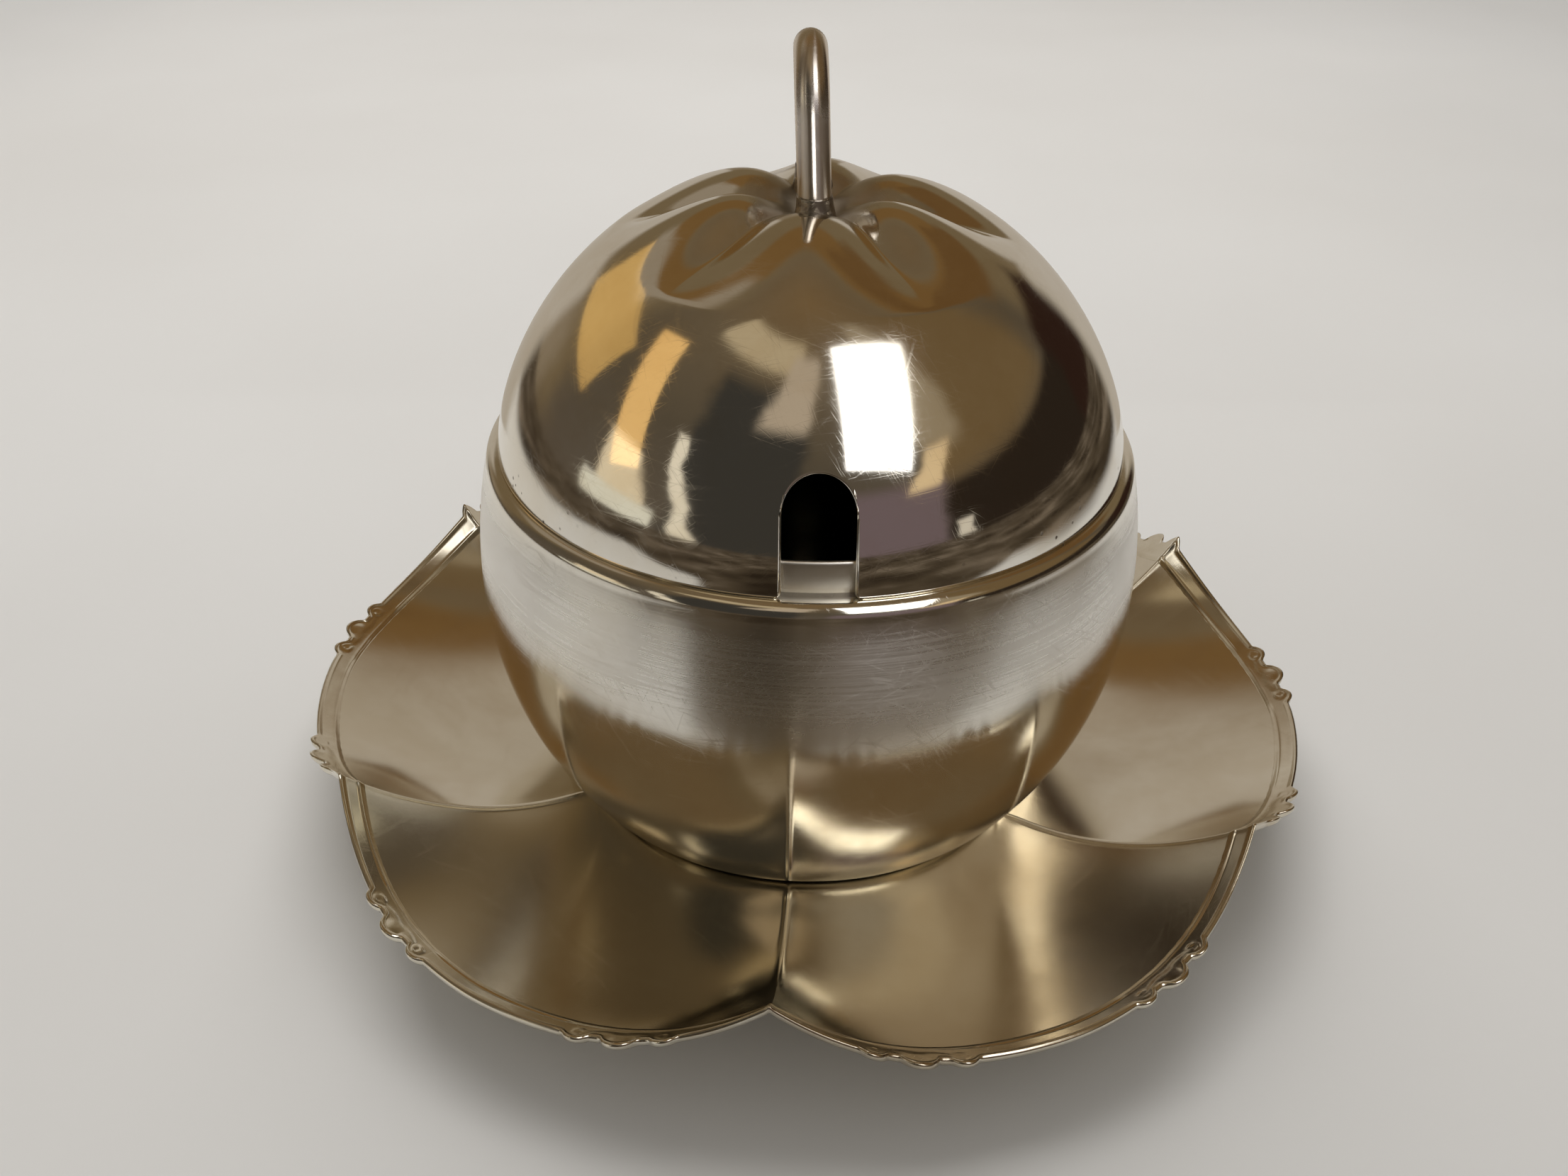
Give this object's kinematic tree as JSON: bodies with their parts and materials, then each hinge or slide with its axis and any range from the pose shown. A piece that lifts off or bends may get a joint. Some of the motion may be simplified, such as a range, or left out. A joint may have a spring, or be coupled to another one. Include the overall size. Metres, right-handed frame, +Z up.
{
  "type": "preserve pot",
  "caption": "Apple-shaped silver-plated preserve pot with a lobed lift-off lid, wire loop handle and spoon notch, fixed on a six-petal dish with a scrolled border.",
  "frame": {"origin": "centre of the foot ring's underside, on the table", "axes": "+Z up along the pot's axis; the spoon notch faces -Y; +X to the right when facing the notch"},
  "size_m": [0.1477, 0.1431, 0.1083],
  "materials": {
    "plate_polished": "polished silver plate with fine wear scratches",
    "plate_satin": "soft, slightly yellowed silver plate",
    "wire_polished": "polished wire, a little tarnished",
    "solder_dark": "dull dark solder",
    "liner_glass": "clear pressed glass"
  },
  "bodies": {
    "pot": {"foot_ring": "plate_satin", "petal_dish": "plate_satin", "dish_border": "plate_satin", "pot_body": "plate_polished", "collar": "plate_satin", "glass_liner": "liner_glass"},
    "lid": {"lid": "plate_polished", "handle": "wire_polished", "solder_front": "solder_dark", "solder_back": "solder_dark"}
  },
  "joints": [
    {"name": "lid_lift", "type": "slide", "parent": "pot", "child": "lid", "axis": [0, 0, 1], "range_m": [0, 0.06]}
  ]
}
